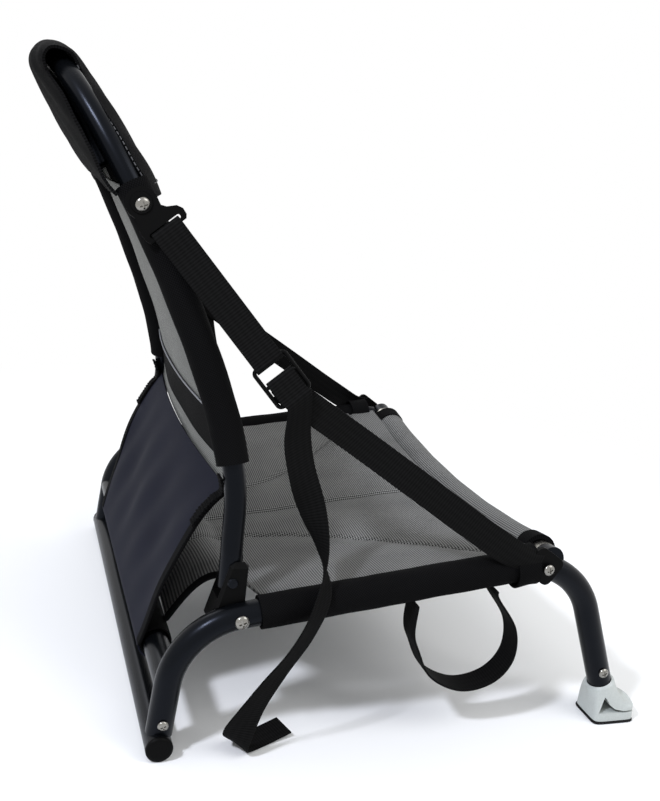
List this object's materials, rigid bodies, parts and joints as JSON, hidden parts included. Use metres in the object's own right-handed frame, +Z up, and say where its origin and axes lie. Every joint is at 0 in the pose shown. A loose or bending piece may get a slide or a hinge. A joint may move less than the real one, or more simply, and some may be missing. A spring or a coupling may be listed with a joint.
{
  "type": "kayak seat",
  "caption": "Framed kayak seat: bent tube base, mesh sling, folding arched backrest with hood, side straps with ladder buckles and clip feet.",
  "frame": {"origin": "on the floor, under the middle of the whole seat's bounding box", "axes": "+Z up, -Y towards the front of the seat, +X towards the sitter's left"},
  "size_m": [0.4958, 0.5618, 0.5385],
  "materials": {
    "tube": "black anodised aluminium, satin with soft highlights",
    "plastic": "moulded black nylon",
    "steel": "bright stainless screws",
    "grey_plastic": "pale grey nylon",
    "sole_rubber": "black rubber",
    "seat_mesh": "grey and black coated mesh, fine twill look",
    "back_mesh": "light grey coated mesh",
    "black_fabric": "black woven nylon",
    "navy_fabric": "dark navy coated oxford cloth",
    "webbing": "black polypropylene webbing"
  },
  "bodies": {
    "seat": {"rear_floor_bar": "tube", "floor_bar_plug_right": "plastic", "floor_bar_plug_left": "plastic", "side_rail_right": "tube", "side_rail_left": "tube", "rear_cross_bar": "tube", "front_cross_bar": "tube", "leg_screw_right": "steel", "leg_screw_left": "steel", "foot_screw_right": "steel", "foot_screw_left": "steel", "bracket_screw_right": "steel", "bracket_screw_left": "steel", "anchor_screw_right": "steel", "anchor_screw_left": "steel", "front_foot_right": "grey_plastic", "front_foot_left": "grey_plastic", "foot_sole_right": "sole_rubber", "foot_sole_left": "sole_rubber", "pivot_bracket_right": "plastic", "pivot_bracket_left": "plastic", "pivot_pin_right": "tube", "pivot_pin_left": "tube", "seat_panel": "seat_mesh", "side_sleeve_right": "black_fabric", "side_sleeve_left": "black_fabric", "rear_binding_right": "black_fabric", "rear_binding_left": "black_fabric", "front_pocket": "seat_mesh", "pocket_binding_right": "black_fabric", "pocket_binding_left": "black_fabric", "rear_sleeve": "black_fabric", "tie_loop_right": "webbing", "tie_loop_left": "webbing", "strap_anchor_right": "plastic", "strap_anchor_left": "plastic", "lower_strap_right": "webbing", "lower_strap_left": "webbing", "apron": "navy_fabric"},
    "backrest": {"back_frame": "tube", "back_sleeve_right": "black_fabric", "back_sleeve_left": "black_fabric", "back_panel": "back_mesh", "lumbar_band": "black_fabric", "lower_strip": "back_mesh", "hood": "black_fabric", "apron_elastic_right": "black_fabric", "apron_elastic_left": "black_fabric", "strap_hanger_right": "plastic", "strap_hanger_left": "plastic", "hanger_washer_right": "steel", "hanger_washer_left": "steel", "hanger_screw_right": "steel", "hanger_screw_left": "steel", "upper_strap_right": "webbing", "upper_strap_left": "webbing", "ladder_buckle_right": "plastic", "ladder_buckle_left": "plastic", "strap_tail_right": "webbing", "strap_tail_left": "webbing"}
  },
  "joints": [
    {"name": "backrest_fold", "type": "hinge", "parent": "seat", "child": "backrest", "pos_m": [0, 0.11975, 0.146], "axis": [1, 0, 0], "range_deg": [0, 85], "deforming": ["upper_strap_right", "upper_strap_left", "ladder_buckle_right", "ladder_buckle_left", "lower_strap_right", "lower_strap_left", "strap_tail_right", "strap_tail_left", "apron", "apron_elastic_right", "apron_elastic_left"]}
  ]
}
